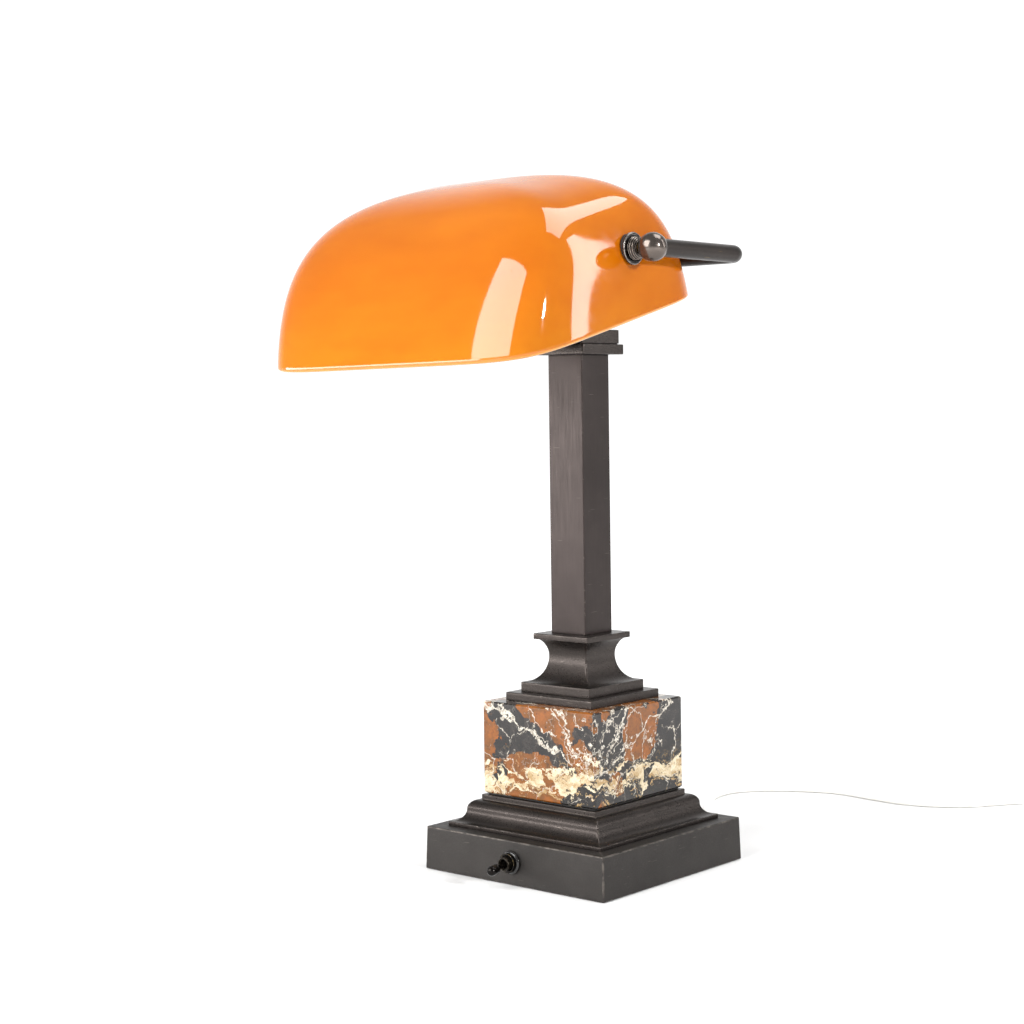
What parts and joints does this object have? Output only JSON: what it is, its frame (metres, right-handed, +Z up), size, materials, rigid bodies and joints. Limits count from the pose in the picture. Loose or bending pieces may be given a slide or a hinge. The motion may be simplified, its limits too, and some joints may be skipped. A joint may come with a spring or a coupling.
{
  "type": "banker desk lamp",
  "caption": "Desk lamp with a stepped square metal and marble stand, a horizontal bow and a tilting orange glass shade.",
  "frame": {"origin": "middle of the base on the table, cord left out", "axes": "+Z up, -Y the front with the switch and the shade's overhang, +X the lamp's right"},
  "size_m": [0.4014, 0.5783, 0.4493],
  "materials": {
    "bronze_lacquer": "satin dark bronze lacquer over cast zinc and steel, worn lighter on the edges",
    "polished_bronze": "polished dark bronze plating with brassy rubs",
    "marble": "polished brown, black and cream breccia marble",
    "orange_glass": "glossy cased glass, orange over opal white",
    "bulb_opal": "satin opal glass",
    "zinc_steel": "zinc plated steel",
    "brass": "bare turned brass",
    "dark_plastic": "moulded black phenolic",
    "white_plastic": "moulded white PVC and nylon",
    "cord_pvc": "white PVC sheath",
    "rubber": "black rubber",
    "felt": "black wool felt",
    "porcelain": "glazed steatite",
    "lead_wire": "PVC insulated wire"
  },
  "bodies": {
    "stand": {"base_block": "bronze_lacquer", "base_plate": "zinc_steel", "base_felt": "felt", "plate_screws": "zinc_steel", "plinth_plate": "bronze_lacquer", "ogee_moulding": "bronze_lacquer", "marble_pad": "rubber", "marble_block": "marble", "neck_foot": "bronze_lacquer", "neck_casting": "bronze_lacquer", "column_tube": "bronze_lacquer", "cap_plate": "bronze_lacquer", "upper_block": "bronze_lacquer", "tie_tube": "zinc_steel", "tie_nut": "zinc_steel", "tie_washer": "zinc_steel", "stem": "bronze_lacquer", "bow": "polished_bronze", "ball_left": "polished_bronze", "ball_right": "polished_bronze", "stud_left": "brass", "stud_right": "brass", "stud_nuts": "brass", "lamp_arm": "bronze_lacquer", "holder_cap": "dark_plastic", "holder_shell": "dark_plastic", "holder_ring": "dark_plastic", "holder_insert": "porcelain", "holder_liner": "brass", "holder_contact": "brass", "bulb_cap": "zinc_steel", "bulb_glass": "bulb_opal", "switch_bezel": "polished_bronze", "switch_nut": "polished_bronze", "switch_bush": "brass", "switch_body": "dark_plastic", "switch_tags": "brass", "terminal_block": "white_plastic", "terminal_screws": "brass", "cord_clamp": "zinc_steel", "clamp_screws": "zinc_steel", "earth_lug": "brass", "inner_leads": "lead_wire", "cord_gland": "white_plastic", "cord_inner": "cord_pvc", "cord_run": "cord_pvc", "cord_coil": "cord_pvc", "cord_tail": "cord_pvc", "cord_tie": "dark_plastic", "plug_body": "white_plastic", "plug_pins": "zinc_steel"},
    "shade": {"shade_glass": "orange_glass", "outer_washers": "polished_bronze", "outer_seats": "rubber", "inner_seats": "rubber", "inner_washers": "brass"},
    "collar_left": {"collar_left": "polished_bronze"},
    "collar_right": {"collar_right": "polished_bronze"},
    "lever": {"switch_lever": "polished_bronze"}
  },
  "joints": [
    {"name": "shade_tilt", "type": "hinge", "parent": "stand", "child": "shade", "pos_m": [0, -0.089, 0.4], "axis": [1, 0, 0], "range_deg": [-12, 40]},
    {"name": "collar_left_turn", "type": "hinge", "parent": "stand", "child": "collar_left", "pos_m": [0, -0.089, 0.4], "axis": [1, 0, 0], "continuous": true},
    {"name": "collar_right_turn", "type": "hinge", "parent": "stand", "child": "collar_right", "pos_m": [0, -0.089, 0.4], "axis": [1, 0, 0], "continuous": true},
    {"name": "switch_toggle", "type": "hinge", "parent": "stand", "child": "lever", "pos_m": [0, -0.08021, 0.015], "axis": [-1, 0, 0], "range_deg": [0, 18]}
  ]
}
